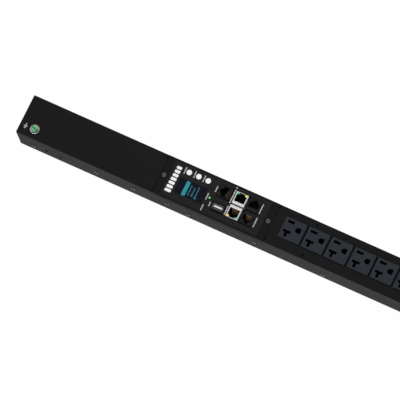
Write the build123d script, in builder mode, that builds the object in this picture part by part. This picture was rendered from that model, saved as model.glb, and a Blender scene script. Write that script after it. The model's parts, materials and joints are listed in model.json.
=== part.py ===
from build123d import *
import os

# Rack power distribution unit lying on its back: X runs along the unit from the inlet end,
# Z points out of the outlet face, and Z = 0 is the back. All sizes are in millimetres.

# Chassis
length = 914.4
width = 50.8
depth = 49.0
sheet = 1.2
fold_radius = 1.6
fit = 0.15
flange_height = 16.0
flange_end_relief = 28.0
end_flange = 26.0

# Controller bay, measured from the inlet end
bay_start = 183.2
bay_end = 333.7
bay_drop = 9.3
seam = 0.5
relief_inset = 4.0
relief_length = 2.6
relief_width = 1.0
lug_length = 8.0
lug_width = 14.0
tab_length = 9.9
tab_screw_offset = 5.1

# Controller module
module_radius = 0.8
module_wall = 1.2
box_wall = 1.6
box_bottom = 17.0
box_radius = 1.0
post_inset = 7.0
post_radius = 2.6
fascia_half = 23.3
side_boss_radius = 3.2
side_boss_length = 6.0
board = 1.6
board_gap = 1.0
component_height = 1.4
main_components = [(212.0, 8.0, 14.0, 14.0), (232.0, -6.0, 20.0, 12.0)]
header_length = 34.0
header_width = 8.0
header_height = 8.0
header_y = -10.0
main_board_top = 32.0
display_board_top = 43.4
switch_height = 2.0
switch_size = 6.0
small_switch_size = 4.0
stem_radius = 1.2
stem_bore = 1.35
stem_bottom = 44.4

# Front controls: distance from the inlet end, then height across the face
button_places = [(214.8, 15.35), (227.6, 15.4), (240.35, 15.35)]
button_radius = 3.4
button_proud = 0.9
button_flange = 0.75
button_flange_thick = 0.8
button_edge = 0.5
button_ring_radius = 1.9
button_ring_width = 0.3
button_ring_depth = 0.25
reset_place = (251.2, -17.3)
reset_hole_radius = 0.8
light_place = (250.9, -2.8)
light_radius = 1.2
light_proud = 0.25
light_edge = 0.4
display_place = (226.5, -4.1)
display_length = 36.8
display_width = 20.2
display_lens = 0.7
display_ledge = 0.6
display_frame = 0.5
display_board_gap = 3.0
display_board_side_gap = 2.7
boss_places = [(205.5, 19.0), (247.6, 19.0), (205.5, -19.0), (243.0, -19.0)]
boss_radius = 2.0

# Jack mouths: width, wall from the middle, height, step of the latch notch and its two widths
lan_mouth = (12.6, 4.45, 9.1, 0.95, 6.6, 3.6)
plastic_mouth = (13.0, 3.85, 7.4, 1.7, 7.0, 3.8)
mouth_depth = 13.0
contact_count = 8
contact_pitch = 1.06
contact_width = 0.66
contact_start = 1.4
contact_lean = 4.4
contact_end_gap = 2.5
contact_tip = 0.5
contact_thick = 0.7

# Ports: middle of each, then its outline
lan_places = [(285.9, 10.65), (285.9, -7.2)]
lan_length = 15.4
lan_width = 15.6
lan_wall = 0.4
lan_proud = 0.8
lan_window_width = 13.2
lan_window_wall = 4.55
lan_window_latch = 7.35
lamp_offset = (5.2, 6.15)
lamp_width = 2.6
lamp_height = 2.1
serial_place = (265.0, 11.35)
serial_length = 16.8
serial_width = 15.4
sensor_places = [(304.2, 10.85), (304.4, -6.85)]
sensor_length = 15.2
sensor_width = 16.3
jack_recess = 0.5
port_gap = 0.35
port_low_gap = 1.4
port_end_gap = 1.2
usb_place = (265.4, -9.65)
usb_length = 14.0
usb_width = 6.0
usb_flare = 0.3
usb_wall = 0.4
usb_body_length = 16.8
usb_body_width = 10.3
usb_depth = 14.0
usb_flare_depth = 0.9
usb_lip = 0.1
usb_proud = 0.3
usb_end_flat = 0.1
usb_tongue_top = 13.4
usb_tongue_length = 11.2
usb_tongue_thick = 2.2
usb_tongue_offset = 0.55

# Outlets
outlet_count = 16
outlet_pitch = 30.9
first_outlet = 360.8
outlet_y = 1.5
face_length = 27.9
face_width = 26.8
face_proud = 1.4
face_corner = 0.8
window_gap = 0.3
outlet_body_width = 31.0
outlet_body_inset = 1.4
outlet_bottom = 22.6
blade_x = -6.0
ground_x = 6.2
blade_spacing = 12.7
line_offset = 8.9
slot_length = 9.0
slot_width = 3.4
tee_length = 10.2
tee_stem = 7.1
tee_stem_width = 3.6
ground_hole_length = 7.1
ground_hole_width = 6.8

# Bus bars and their carrier
deck_top = 20.4
deck = 2.0
bar_thick = 1.0
bar_half = 1.8
ground_bar_half = 2.9
bar_tail = 17.0
clip_top = 38.0
clip_length = 7.0
ground_clip_length = 5.0
ground_clip_shift = 0.8
clip_leaf = 0.5
clip_grip = 0.2
blade_thick = 1.5
ground_pin = 4.8
carrier_width = 40.0
carrier_leg = 1.6
carrier_overhang = 4.0
carrier_rail = 2.0
carrier_rib = 0.9

# Inlet and leads
inlet_z = 25.0
inlet_length = 29.0
inlet_height = 21.0
inlet_wall = 1.8
inlet_depth = 22.0
inlet_floor = 6.0
inlet_flange_length = 45.0
inlet_flange_height = 27.0
inlet_flange = 2.5
inlet_screw_spacing = 40.0
inlet_screw_reach = 1.0
inlet_corner = 3.0
inlet_flange_corner = 2.0
inlet_key = 3.0
inlet_mouth_radius = 1.5
pin_lead_in = 0.5
pin_width = 8.0
pin_thick = 2.0
pin_spacing = 13.0
pin_row = 3.5
pin_reach = 17.0
pin_tail = 7.0
lead_radius = 2.1
lead_height = 8.2
lead_straight = 14.0
lead_drop = 20.0
lead_rise = 12.5
lead_overlap = 2.5
lead_landing = 8.5
lead_bend = 7.0
ring_radius = 4.0
ring_length = 10.0
ring_start = 76.0
ring_edge = 0.6

# Fasteners
screw_radius = 1.45
tapped_radius = 1.5
clear_radius = 1.6
countersink_radius = 2.6
pan_radius = 2.9
pan_height = 1.7
tab_head_radius = 2.7
tab_head_height = 1.6
cross_length = 2.8
cross_width = 0.7
cross_depth = 0.9
head_round = 0.55
screw_reach = 5.0
rear_screws = [19.0, 228.0, 410.0, 600.0, 790.0, length - 19.0]
rear_screw_z = 11.0
middle_screws = [106.0, 156.0, 201.5, 319.0]
middle_screw_z = 21.1
side_holes = [36.8, 56.7]
side_hole_z = 18.1
side_hole_radius = 1.6
front_hole_first = 384.9
front_hole_pitch = 6 * outlet_pitch
front_hole_y = 20.6
front_hole_radius = 1.3
front_hole_count = 3
ground_place = (19.6, -13.45)
ground_radius = 2.4
ground_head_radius = 4.3
ground_head_height = 2.8
ground_washer_radius = 5.75
ground_washer = 1.2
ground_washer_edge = 0.3
ground_head_edge = 0.7
ground_slot_width = 1.2
ground_slot_depth = 1.2
ground_slot_turn = -17.0
ground_screw_reach = 1.5
ground_nut_flats = 8.0
ground_nut_height = 4.0
nut_places = [60.0, 110.0, length - 110.0, length - 60.0]
nut_bore = 2.1
nut_shank = 3.2
nut_head = 4.6
nut_height = 3.6
nut_press = 0.02

# Metering shelf
shelf_start = 94.0
shelf_end = 168.0
shelf_gap = 0.3
shelf_flange_top = 27.0
shelf_pillar = 3.0
shelf_pillar_radius = 2.5
shelf_pillar_inset = 4.0
meter_board_end_gap = 3.0
meter_board_side_gap = 5.0
relays = [(-20.0, 7.0, 20.0, 18.0), (20.0, -8.0, 22.0, 14.0)]
relay_height = 14.0
capacitor_places = [(2.0, 10.0), (14.0, 10.0)]
capacitor_radius = 4.5
capacitor_height = 17.0

# Sizes that follow from the ones above
inner_width = width - 2 * sheet
front_under = depth - sheet
bay_middle = (bay_start + bay_end) / 2
bay_length = bay_end - bay_start
fascia_start = bay_start + tab_length
fascia_end = bay_end - tab_length
fascia_length = fascia_end - fascia_start
box_start = fascia_start - box_wall
box_end = fascia_end + box_wall
box_width = inner_width - 2 * fit
frame_drop = bay_drop - seam
fascia_under = depth - module_wall
outlet_places = [first_outlet + outlet_pitch * step for step in range(outlet_count)]
outlets_start = outlet_places[0] - face_length / 2
outlets_end = outlet_places[-1] + face_length / 2
face_top = depth + face_proud
line_y = outlet_y + line_offset
neutral_y = line_y - blade_spacing
ground_y = (line_y + neutral_y) / 2
bar_top = deck_top + bar_thick
jack_face = depth - jack_recess
shelf_z = flange_height + shelf_gap
lan_face = depth + lan_proud
serial_start = serial_place[0] - serial_length / 2
serial_end = serial_place[0] + serial_length / 2
usb_start = usb_place[0] - usb_body_length / 2
port_openings = [
    (
        serial_start - port_gap,
        serial_end + port_end_gap,
        serial_place[1] - serial_width / 2 - port_low_gap,
        serial_place[1] + serial_width / 2 + port_gap,
    ),
    (
        usb_start - port_gap,
        serial_end + port_end_gap,
        usb_place[1] - usb_body_width / 2 - port_low_gap,
        usb_place[1] + usb_body_width / 2 + port_gap,
    ),
    (
        lan_places[0][0] - lan_length / 2 - port_gap,
        sensor_places[1][0] + sensor_length / 2 + port_gap,
        lan_places[1][1] - lan_width / 2 - port_low_gap,
        sensor_places[0][1] + sensor_width / 2 + port_gap,
    ),
]

os.makedirs("parts", exist_ok=True)


def at(distance):
    """Distance from the inlet end turned into the X of the unit's middle."""
    return distance - length / 2


def spot(place):
    """A place on the front given as distance from the inlet end and height across the face."""
    return (at(place[0]), place[1])


def finish(piece, name):
    piece.part.label = name
    export_step(piece.part, "parts/" + name + ".step")


# Folded front: outlet face and both long sides, notched for the controller
with BuildPart() as front_shell:
    with BuildSketch(Plane.YZ.offset(-length / 2)) as channel:
        with Locations((0, depth / 2)):
            Rectangle(width, depth)
        fillet(channel.vertices().group_by(Axis.Y)[-1], fold_radius)
        with Locations((0, front_under / 2)):
            Rectangle(inner_width, front_under, mode=Mode.SUBTRACT)
    extrude(amount=length)
    with BuildSketch(Plane.XY.offset(depth)):
        with Locations((at(bay_middle), 0)):
            Rectangle(bay_length, width)
    extrude(amount=-bay_drop, mode=Mode.SUBTRACT)
    with BuildSketch(Plane.XY.offset(depth)):
        relief_y = width / 2 - relief_inset
        with Locations(*[(at(end), side * relief_y) for end in (bay_start, bay_end) for side in (-1, 1)]):
            Rectangle(2 * relief_length, relief_width)
    extrude(amount=-sheet, mode=Mode.SUBTRACT)
    for end, inward in ((bay_start, 1), (bay_end, -1)):
        with BuildSketch(Plane.XZ.offset(-lug_width / 2)):
            with BuildLine():
                Polyline(
                    (at(end - 2 * sheet * inward), front_under),
                    (at(end - sheet * inward), front_under - sheet),
                    (at(end + lug_length * inward), front_under - sheet),
                    (at(end + lug_length * inward), front_under),
                    close=True,
                )
            make_face()
        extrude(amount=lug_width)
        with Locations((at(end + tab_screw_offset * inward), 0, front_under)):
            Hole(tapped_radius, depth=sheet)
    with BuildSketch(Plane.XY.offset(depth)):
        with Locations((at((outlets_start + outlets_end) / 2), outlet_y)):
            Rectangle(outlets_end - outlets_start + 2 * window_gap, face_width + 2 * window_gap)
    extrude(amount=-sheet, mode=Mode.SUBTRACT)
    with BuildSketch(Plane.XY.offset(depth)):
        front_holes = [front_hole_first + front_hole_pitch * step for step in range(front_hole_count)]
        with Locations(*[(at(hole), side * front_hole_y) for hole in front_holes for side in (-1, 1)]):
            Circle(front_hole_radius)
        with Locations(spot(ground_place)):
            Circle(ground_radius + fit)
    extrude(amount=-sheet, mode=Mode.SUBTRACT)
    with BuildSketch(Plane.XZ.offset(-width / 2)):
        with Locations(*[(at(screw), rear_screw_z) for screw in rear_screws]):
            Circle(clear_radius)
        with Locations(*[(at(screw), middle_screw_z) for screw in middle_screws]):
            Circle(clear_radius)
        with Locations(*[(at(hole), side_hole_z) for hole in side_holes]):
            Circle(side_hole_radius)
    extrude(amount=width, mode=Mode.SUBTRACT)
finish(front_shell, "front_shell")

# Shallow tray that closes the back, with flanges inside the long sides
with BuildPart() as back_plate:
    tray_width = inner_width - 2 * fit
    with BuildSketch(Plane.YZ.offset(-length / 2)) as tray:
        with Locations((0, flange_height / 2)):
            Rectangle(tray_width, flange_height)
        fillet(tray.vertices().group_by(Axis.Y)[0], fold_radius)
        with Locations((0, sheet + flange_height / 2)):
            Rectangle(tray_width - 2 * sheet, flange_height, mode=Mode.SUBTRACT)
    extrude(amount=length)
    with BuildSketch(Plane.XY.offset(sheet)):
        with Locations((at(flange_end_relief / 2), 0), (at(length - flange_end_relief / 2), 0)):
            Rectangle(flange_end_relief, width)
    extrude(amount=flange_height, mode=Mode.SUBTRACT)
    with BuildSketch(Plane.XZ.offset(-width / 2)):
        with Locations(*[(at(screw), rear_screw_z) for screw in rear_screws[1:-1]]):
            Circle(tapped_radius)
    extrude(amount=width, mode=Mode.SUBTRACT)
    with Locations(*[(at(nut), 0, sheet) for nut in nut_places]):
        Hole(nut_shank, depth=sheet)
finish(back_plate, "back_plate")


def end_plate(end, inward):
    """Folded end closure with two flanges that lie inside the long sides."""
    plate_width = inner_width - 2 * fit
    with BuildPart() as plate:
        with BuildSketch(Plane.XY.offset(sheet)) as bend:
            with Locations((at(end + inward * end_flange / 2), 0)):
                Rectangle(end_flange, plate_width)
            corner_group = 0 if inward > 0 else -1
            fillet(bend.vertices().group_by(Axis.X)[corner_group], fold_radius)
            with Locations((at(end + inward * (sheet + end_flange / 2)), 0)):
                Rectangle(end_flange, plate_width - 2 * sheet, mode=Mode.SUBTRACT)
        extrude(amount=front_under - fit - sheet)
        with BuildSketch(Plane.XZ.offset(-width / 2)):
            with Locations((at(end + inward * rear_screws[0]), rear_screw_z)):
                Circle(tapped_radius)
        extrude(amount=width, mode=Mode.SUBTRACT)
        if inward > 0:
            with BuildSketch(Plane.YZ.offset(at(end))):
                with Locations((0, inlet_z)):
                    RectangleRounded(
                        inlet_length + 2 * inlet_wall + 2 * fit,
                        inlet_height + 2 * inlet_wall + 2 * fit,
                        inlet_corner,
                    )
            extrude(amount=sheet, mode=Mode.SUBTRACT)
            with BuildSketch(Plane.YZ.offset(at(end))):
                with Locations((-inlet_screw_spacing / 2, inlet_z), (inlet_screw_spacing / 2, inlet_z)):
                    Circle(countersink_radius + fit / 2)
            extrude(amount=sheet, taper=45, mode=Mode.SUBTRACT)
    return plate


finish(end_plate(0, 1), "inlet_end_plate")
finish(end_plate(length, -1), "far_end_plate")

# Moulded inlet for a detachable mains lead, clamped behind the end plate
with BuildPart() as inlet_socket:
    inlet_outer_length = inlet_length + 2 * inlet_wall
    inlet_outer_height = inlet_height + 2 * inlet_wall
    with BuildSketch(Plane.YZ.offset(at(0))):
        with Locations((0, inlet_z)):
            RectangleRounded(inlet_outer_length, inlet_outer_height, inlet_corner)
    extrude(amount=inlet_depth + inlet_floor)
    with BuildSketch(Plane.YZ.offset(at(sheet))):
        with Locations((0, inlet_z)):
            RectangleRounded(inlet_flange_length, inlet_flange_height, inlet_flange_corner)
    extrude(amount=inlet_flange)
    with BuildSketch(Plane.YZ.offset(at(0))) as mouth:
        with Locations((0, inlet_z)):
            Rectangle(inlet_length, inlet_height)
        chamfer(mouth.vertices().group_by(Axis.Y)[-1], inlet_key)
        fillet(mouth.vertices().group_by(Axis.Y)[0], inlet_mouth_radius)
    extrude(amount=inlet_depth, mode=Mode.SUBTRACT)
    with BuildSketch(Plane.YZ.offset(at(inlet_depth))):
        with Locations(
            (-pin_spacing / 2, inlet_z - pin_row),
            (pin_spacing / 2, inlet_z - pin_row),
            (0, inlet_z + pin_row),
        ):
            Rectangle(pin_width, pin_thick)
    extrude(amount=inlet_floor, mode=Mode.SUBTRACT)
    with BuildSketch(Plane.YZ.offset(at(sheet))):
        with Locations((-inlet_screw_spacing / 2, inlet_z), (inlet_screw_spacing / 2, inlet_z)):
            Circle(tapped_radius)
    extrude(amount=inlet_flange, mode=Mode.SUBTRACT)
finish(inlet_socket, "inlet_socket")

with BuildPart() as inlet_pins:
    with BuildSketch(Plane.YZ.offset(at(inlet_depth - pin_reach))):
        with Locations(
            (-pin_spacing / 2, inlet_z - pin_row),
            (pin_spacing / 2, inlet_z - pin_row),
            (0, inlet_z + pin_row),
        ):
            Rectangle(pin_width, pin_thick)
    extrude(amount=pin_reach + inlet_floor + pin_tail)
    chamfer(inlet_pins.faces().group_by(Axis.X)[0].edges(), pin_lead_in)
finish(inlet_pins, "inlet_pins")

with BuildPart() as inlet_screws:
    with BuildSketch(Plane.YZ.offset(at(0))):
        with Locations((-inlet_screw_spacing / 2, inlet_z), (inlet_screw_spacing / 2, inlet_z)):
            Circle(screw_radius)
    extrude(amount=sheet + inlet_flange + inlet_screw_reach)
    with BuildSketch(Plane.YZ.offset(at(0))):
        with Locations((-inlet_screw_spacing / 2, inlet_z), (inlet_screw_spacing / 2, inlet_z)):
            Circle(countersink_radius)
    extrude(amount=countersink_radius - screw_radius, taper=45)
finish(inlet_screws, "inlet_screws")

# Bonding screw with its washer, and the nut welded under the front
with BuildPart() as ground_washer_ring:
    with BuildSketch(Plane.XY.offset(depth)):
        with Locations(spot(ground_place)):
            Circle(ground_washer_radius)
            Circle(ground_radius + fit, mode=Mode.SUBTRACT)
    extrude(amount=ground_washer)
    chamfer(ground_washer_ring.edges().group_by(Axis.Z)[-1].sort_by(SortBy.LENGTH)[-1], ground_washer_edge)
finish(ground_washer_ring, "ground_washer")

with BuildPart() as ground_screw:
    ground_head_base = depth + ground_washer
    with BuildSketch(Plane.XY.offset(ground_head_base)):
        with Locations(spot(ground_place)):
            Circle(ground_head_radius)
    extrude(amount=ground_head_height)
    fillet(ground_screw.edges().group_by(Axis.Z)[-1], ground_head_edge)
    with BuildSketch(Plane.XY.offset(ground_head_base + ground_head_height)):
        with Locations(spot(ground_place)):
            Rectangle(2 * ground_head_radius, ground_slot_width, rotation=ground_slot_turn)
    extrude(amount=-ground_slot_depth, mode=Mode.SUBTRACT)
    with BuildSketch(Plane.XY.offset(ground_head_base)):
        with Locations(spot(ground_place)):
            Circle(ground_radius)
    extrude(amount=-(ground_washer + sheet + ground_nut_height + ground_screw_reach))
finish(ground_screw, "ground_screw")

with BuildPart() as ground_nut:
    with BuildSketch(Plane.XY.offset(front_under)):
        with Locations(spot(ground_place)):
            RegularPolygon(ground_nut_flats / 2, 6, major_radius=False)
            Circle(ground_radius + fit / 2, mode=Mode.SUBTRACT)
    extrude(amount=-ground_nut_height)
finish(ground_nut, "ground_nut")


# Controller box with its front frame, whose two ends are the screwed tabs
with BuildPart() as controller_housing:
    with BuildSketch(Plane.YZ.offset(at(box_start))) as tub:
        with Locations((0, (box_bottom + fascia_under) / 2)):
            Rectangle(box_width, fascia_under - box_bottom)
        fillet(tub.vertices().group_by(Axis.Y)[0], box_radius)
    extrude(amount=box_end - box_start)
    with BuildSketch(Plane.XY.offset(fascia_under)):
        with Locations((at(bay_middle), 0)):
            Rectangle(fascia_length, box_width - 2 * box_wall)
    extrude(amount=-(fascia_under - box_bottom - box_wall), mode=Mode.SUBTRACT)
    with BuildSketch(Plane.YZ.offset(at(bay_start + seam))) as frame_section:
        with Locations((0, depth - frame_drop / 2)):
            Rectangle(width, frame_drop)
        fillet(frame_section.vertices().group_by(Axis.Y)[-1], module_radius)
        with Locations((0, fascia_under - frame_drop / 2)):
            Rectangle(width - 2 * module_wall, frame_drop, mode=Mode.SUBTRACT)
    extrude(amount=bay_length - 2 * seam)
    with BuildSketch(Plane.XY.offset(depth)):
        with Locations((at(bay_middle), 0)):
            Rectangle(fascia_length, 2 * fascia_half)
    extrude(amount=-module_wall, mode=Mode.SUBTRACT)
    with Locations(
        (at(bay_start + tab_screw_offset), 0, depth),
        (at(bay_end - tab_screw_offset), 0, depth),
    ):
        Hole(clear_radius, depth=module_wall)
    with BuildSketch(Plane.XY.offset(box_bottom + box_wall)):
        with Locations((at(bay_middle), 0)):
            with GridLocations(fascia_length - 2 * post_inset, box_width - 2 * (post_inset + 1.0), 2, 2):
                Circle(post_radius)
    extrude(amount=main_board_top - board - box_bottom - box_wall)
    for side in (-1, 1):
        with BuildSketch(Plane.XZ.offset(-side * box_width / 2)):
            with Locations(*[(at(screw), middle_screw_z) for screw in middle_screws[2:]]):
                Circle(side_boss_radius)
        extrude(amount=side * side_boss_length)
    with BuildSketch(Plane.XZ.offset(-width / 2)):
        with Locations(*[(at(screw), middle_screw_z) for screw in middle_screws[2:]]):
            Circle(tapped_radius)
    extrude(amount=width, mode=Mode.SUBTRACT)
finish(controller_housing, "controller_housing")

# Flat fascia set into the frame, with openings for controls and ports and bosses for the display board
with BuildPart() as controller_fascia:
    with BuildSketch(Plane.XY.offset(fascia_under)):
        with Locations((at(bay_middle), 0)):
            Rectangle(fascia_length - 2 * fit, 2 * (fascia_half - fit))
    extrude(amount=module_wall)
    with BuildSketch(Plane.XY.offset(fascia_under)):
        with Locations(*[spot(place) for place in boss_places]):
            Circle(boss_radius)
    extrude(amount=-(fascia_under - display_board_top))
    with BuildSketch(Plane.XY.offset(depth)):
        with Locations(*[spot(place) for place in button_places]):
            Circle(button_radius + fit)
        with Locations(spot(reset_place)):
            Circle(reset_hole_radius)
        with Locations(spot(light_place)):
            Circle(light_radius + fit)
        with Locations(spot(display_place)):
            Rectangle(display_length - 2 * display_ledge, display_width - 2 * display_ledge)
        for start, end, low, high in port_openings:
            with Locations((at((start + end) / 2), (low + high) / 2)):
                Rectangle(end - start, high - low)
    extrude(amount=-module_wall, mode=Mode.SUBTRACT)
    with BuildSketch(Plane.XY.offset(depth)):
        with Locations(spot(display_place)):
            Rectangle(display_length + 2 * fit, display_width + 2 * fit)
    extrude(amount=-display_lens, mode=Mode.SUBTRACT)
finish(controller_fascia, "controller_fascia")

with BuildPart() as display_window:
    with BuildSketch(Plane.XY.offset(depth - display_lens)):
        with Locations(spot(display_place)):
            Rectangle(display_length, display_width)
    extrude(amount=display_lens)
finish(display_window, "display_window")

with BuildPart() as display_module:
    with BuildSketch(Plane.XY.offset(display_board_top)):
        with Locations(spot(display_place)):
            Rectangle(display_length + 2 * display_frame, display_width + 2 * display_frame)
    extrude(amount=fascia_under - fit - display_board_top)
finish(display_module, "display_module")

# Small board behind the display, with the switch bodies that the buttons push into
with BuildPart() as display_board:
    display_board_start = fascia_start + display_board_gap
    display_board_end = serial_start - board_gap
    display_board_width = width - 2 * (module_wall + display_board_side_gap)
    with BuildSketch(Plane.XY.offset(display_board_top - board)):
        with Locations((at((display_board_start + display_board_end) / 2), 0)):
            Rectangle(display_board_end - display_board_start, display_board_width)
    extrude(amount=board)
    with BuildSketch(Plane.XY.offset(display_board_top)):
        with Locations(*[spot(place) for place in button_places]):
            Rectangle(switch_size, switch_size)
        with Locations(spot(reset_place)):
            Rectangle(small_switch_size, small_switch_size)
        with Locations(*[spot(place) for place in button_places + [reset_place]]):
            Circle(stem_bore, mode=Mode.SUBTRACT)
    extrude(amount=switch_height)
finish(display_board, "display_board")


def push_button(place):
    """Cap with a stop flange under the fascia and a stem that slides in its switch."""
    with BuildPart() as button:
        with BuildSketch(Plane.XY.offset(fascia_under)):
            with Locations(spot(place)):
                Circle(button_radius)
        extrude(amount=module_wall + button_proud)
        fillet(button.edges().group_by(Axis.Z)[-1], button_edge)
        with BuildSketch(Plane.XY.offset(depth + button_proud)):
            with Locations(spot(place)):
                Circle(button_ring_radius + button_ring_width)
                Circle(button_ring_radius, mode=Mode.SUBTRACT)
        extrude(amount=-button_ring_depth, mode=Mode.SUBTRACT)
        with BuildSketch(Plane.XY.offset(fascia_under)):
            with Locations(spot(place)):
                Circle(button_radius + button_flange)
        extrude(amount=-button_flange_thick)
        with BuildSketch(Plane.XY.offset(fascia_under - button_flange_thick)):
            with Locations(spot(place)):
                Circle(stem_radius)
        extrude(amount=-(fascia_under - button_flange_thick - stem_bottom))
    return button


for number, place in enumerate(button_places, start=1):
    finish(push_button(place), "button_" + str(number))

with BuildPart() as reset_plunger:
    with BuildSketch(Plane.XY.offset(stem_bottom)):
        with Locations(spot(reset_place)):
            Circle(stem_radius)
    extrude(amount=fascia_under - stem_bottom)
finish(reset_plunger, "reset_plunger")

with BuildPart() as status_light:
    with BuildSketch(Plane.XY.offset(display_board_top)):
        with Locations(spot(light_place)):
            Circle(light_radius)
    extrude(amount=depth + light_proud - display_board_top)
    fillet(status_light.edges().group_by(Axis.Z)[-1], light_edge)
finish(status_light, "status_light")

with BuildPart() as main_board:
    with BuildSketch(Plane.XY.offset(main_board_top - board)):
        with Locations((at(bay_middle), 0)):
            Rectangle(fascia_length - 2 * board_gap, box_width - 2 * box_wall - board_gap)
    extrude(amount=board)
    with BuildSketch(Plane.XY.offset(main_board_top)):
        for component_x, component_y, component_length, component_width in main_components:
            with Locations((at(component_x), component_y)):
                Rectangle(component_length, component_width)
    extrude(amount=component_height)
    with BuildSketch(Plane.XY.offset(main_board_top - board)):
        with Locations((at(bay_middle), header_y)):
            Rectangle(header_length, header_width)
    extrude(amount=-header_height)
finish(main_board, "main_board")


def mouth_sketch(place, latch, plane_z, mouth):
    """Modular jack opening; latch is the direction its clip notch faces."""
    mouth_width, wall, mouth_height, latch_step, latch_wide, latch_narrow = mouth
    turned = Plane(origin=(*spot(place), plane_z), x_dir=(latch[1], -latch[0], 0), z_dir=(0, 0, 1))
    with BuildSketch(turned) as opening:
        with Locations((0, mouth_height / 2 - wall)):
            Rectangle(mouth_width, mouth_height)
        with Locations((0, mouth_height - wall + latch_step / 2)):
            Rectangle(latch_wide, latch_step)
        with Locations((0, mouth_height - wall + 1.5 * latch_step)):
            Rectangle(latch_narrow, latch_step)
    return opening.sketch


def plastic_jack(place, size, latch):
    """Black modular jack standing on the main board."""
    with BuildPart() as jack:
        with BuildSketch(Plane.XY.offset(main_board_top)):
            with Locations(spot(place)):
                Rectangle(*size)
        extrude(amount=jack_face - main_board_top)
        mouth = mouth_sketch(place, latch, jack_face, plastic_mouth)
        extrude(mouth, amount=-mouth_depth, mode=Mode.SUBTRACT)
    return jack


up = (0, 1)
down = (0, -1)
back = (-1, 0)
finish(plastic_jack(serial_place, (serial_length, serial_width), back), "serial_jack")
finish(plastic_jack(sensor_places[0], (sensor_length, sensor_width), up), "sensor_jack_upper")
finish(plastic_jack(sensor_places[1], (sensor_length, sensor_width), down), "sensor_jack_lower")


def lan_shield(place, latch):
    """Sheet-metal can round a network jack, with a square window in its face."""
    with BuildPart() as can:
        with BuildSketch(Plane.XY.offset(main_board_top)):
            with Locations(spot(place)):
                Rectangle(lan_length, lan_width)
        extrude(amount=lan_face - main_board_top)
        with BuildSketch(Plane.XY.offset(main_board_top)):
            with Locations(spot(place)):
                Rectangle(lan_length - 2 * lan_wall, lan_width - 2 * lan_wall)
        extrude(amount=lan_face - lan_wall - main_board_top, mode=Mode.SUBTRACT)
        window_y = place[1] + latch[1] * (lan_window_latch - lan_window_wall) / 2
        with BuildSketch(Plane.XY.offset(lan_face)):
            with Locations((at(place[0]), window_y)):
                Rectangle(lan_window_width, lan_window_latch + lan_window_wall)
        extrude(amount=-lan_wall, mode=Mode.SUBTRACT)
    return can


def lan_insert(place, latch):
    """Moulded core of a network jack, with a lamp window beside each side of the latch notch."""
    core_gap = lan_wall + fit
    core_face = lan_face - lan_wall - fit / 3
    lamp_x, lamp_y = lamp_offset
    with BuildPart() as insert:
        with BuildSketch(Plane.XY.offset(main_board_top)):
            with Locations(spot(place)):
                Rectangle(lan_length - 2 * core_gap, lan_width - 2 * core_gap)
        extrude(amount=core_face - main_board_top)
        mouth = mouth_sketch(place, latch, core_face, lan_mouth)
        extrude(mouth, amount=-mouth_depth, mode=Mode.SUBTRACT)
        with BuildSketch(Plane.XY.offset(core_face)):
            with Locations((at(place[0]), place[1] + latch[1] * lamp_y)):
                with Locations((-lamp_x, 0), (lamp_x, 0)):
                    Rectangle(lamp_width, lamp_height)
        extrude(amount=lan_wall)
    return insert


for place, latch, name in ((lan_places[0], up, "upper"), (lan_places[1], down, "lower")):
    finish(lan_shield(place, latch), "lan_shield_" + name)
    finish(lan_insert(place, latch), "lan_insert_" + name)

# Gilt spring wires of every jack, each leaning into its mouth from the side away from the latch
with BuildPart() as jack_contacts:
    jack_list = [
        (serial_place, back, jack_face, plastic_mouth),
        (sensor_places[0], up, jack_face, plastic_mouth),
        (sensor_places[1], down, jack_face, plastic_mouth),
        (lan_places[0], up, lan_face - lan_wall, lan_mouth),
        (lan_places[1], down, lan_face - lan_wall, lan_mouth),
    ]
    for place, latch, face, mouth in jack_list:
        row = Plane(origin=(*spot(place), face), x_dir=(*latch, 0), z_dir=(latch[1], -latch[0], 0))
        wall = -mouth[1]
        for count in range(contact_count):
            across = (count - (contact_count - 1) / 2) * contact_pitch
            with BuildSketch(row.offset(across - contact_width / 2)):
                with BuildLine():
                    Polyline(
                        (wall, -contact_start),
                        (wall + contact_lean, contact_end_gap - mouth_depth),
                        (wall + contact_lean, contact_end_gap - contact_tip - mouth_depth),
                        (wall, -contact_start - contact_thick),
                        close=True,
                    )
                make_face()
            extrude(amount=contact_width)
finish(jack_contacts, "jack_contacts")


def usb_outline(plane_z, growth):
    """Round-ended outline of the serial port's shell, grown by the same amount on every side."""
    with BuildSketch(Plane.XY.offset(plane_z)) as outline:
        with Locations(spot(usb_place)):
            across = usb_width + 2 * growth
            RectangleRounded(usb_length + 2 * growth, across, across / 2 - usb_end_flat)
    return outline.sketch


# Serial port body with its tongue, inside a slightly flared steel shell
with BuildPart() as usb_body:
    usb_floor = jack_face - usb_depth
    with BuildSketch(Plane.XY.offset(main_board_top)):
        with Locations(spot(usb_place)):
            Rectangle(usb_body_length, usb_body_width)
    extrude(amount=jack_face - main_board_top)
    extrude(usb_outline(usb_floor, fit), amount=usb_depth, mode=Mode.SUBTRACT)
    extrude(
        usb_outline(jack_face, usb_flare + fit),
        amount=-(usb_flare_depth + usb_lip),
        mode=Mode.SUBTRACT,
    )
    with BuildSketch(Plane.XY.offset(usb_floor)):
        with Locations((at(usb_place[0]), usb_place[1] + usb_tongue_offset)):
            Rectangle(usb_tongue_length, usb_tongue_thick)
    extrude(amount=usb_tongue_top)
finish(usb_body, "usb_body")

with BuildPart() as usb_shell:
    flare_base = jack_face - usb_flare_depth
    extrude(usb_outline(usb_floor, 0), amount=usb_depth - usb_flare_depth)
    loft([usb_outline(flare_base, 0), usb_outline(depth + usb_proud, usb_flare)])
    extrude(
        usb_outline(usb_floor, -usb_wall),
        amount=depth + usb_proud - usb_floor,
        mode=Mode.SUBTRACT,
    )
finish(usb_shell, "usb_shell")


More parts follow.
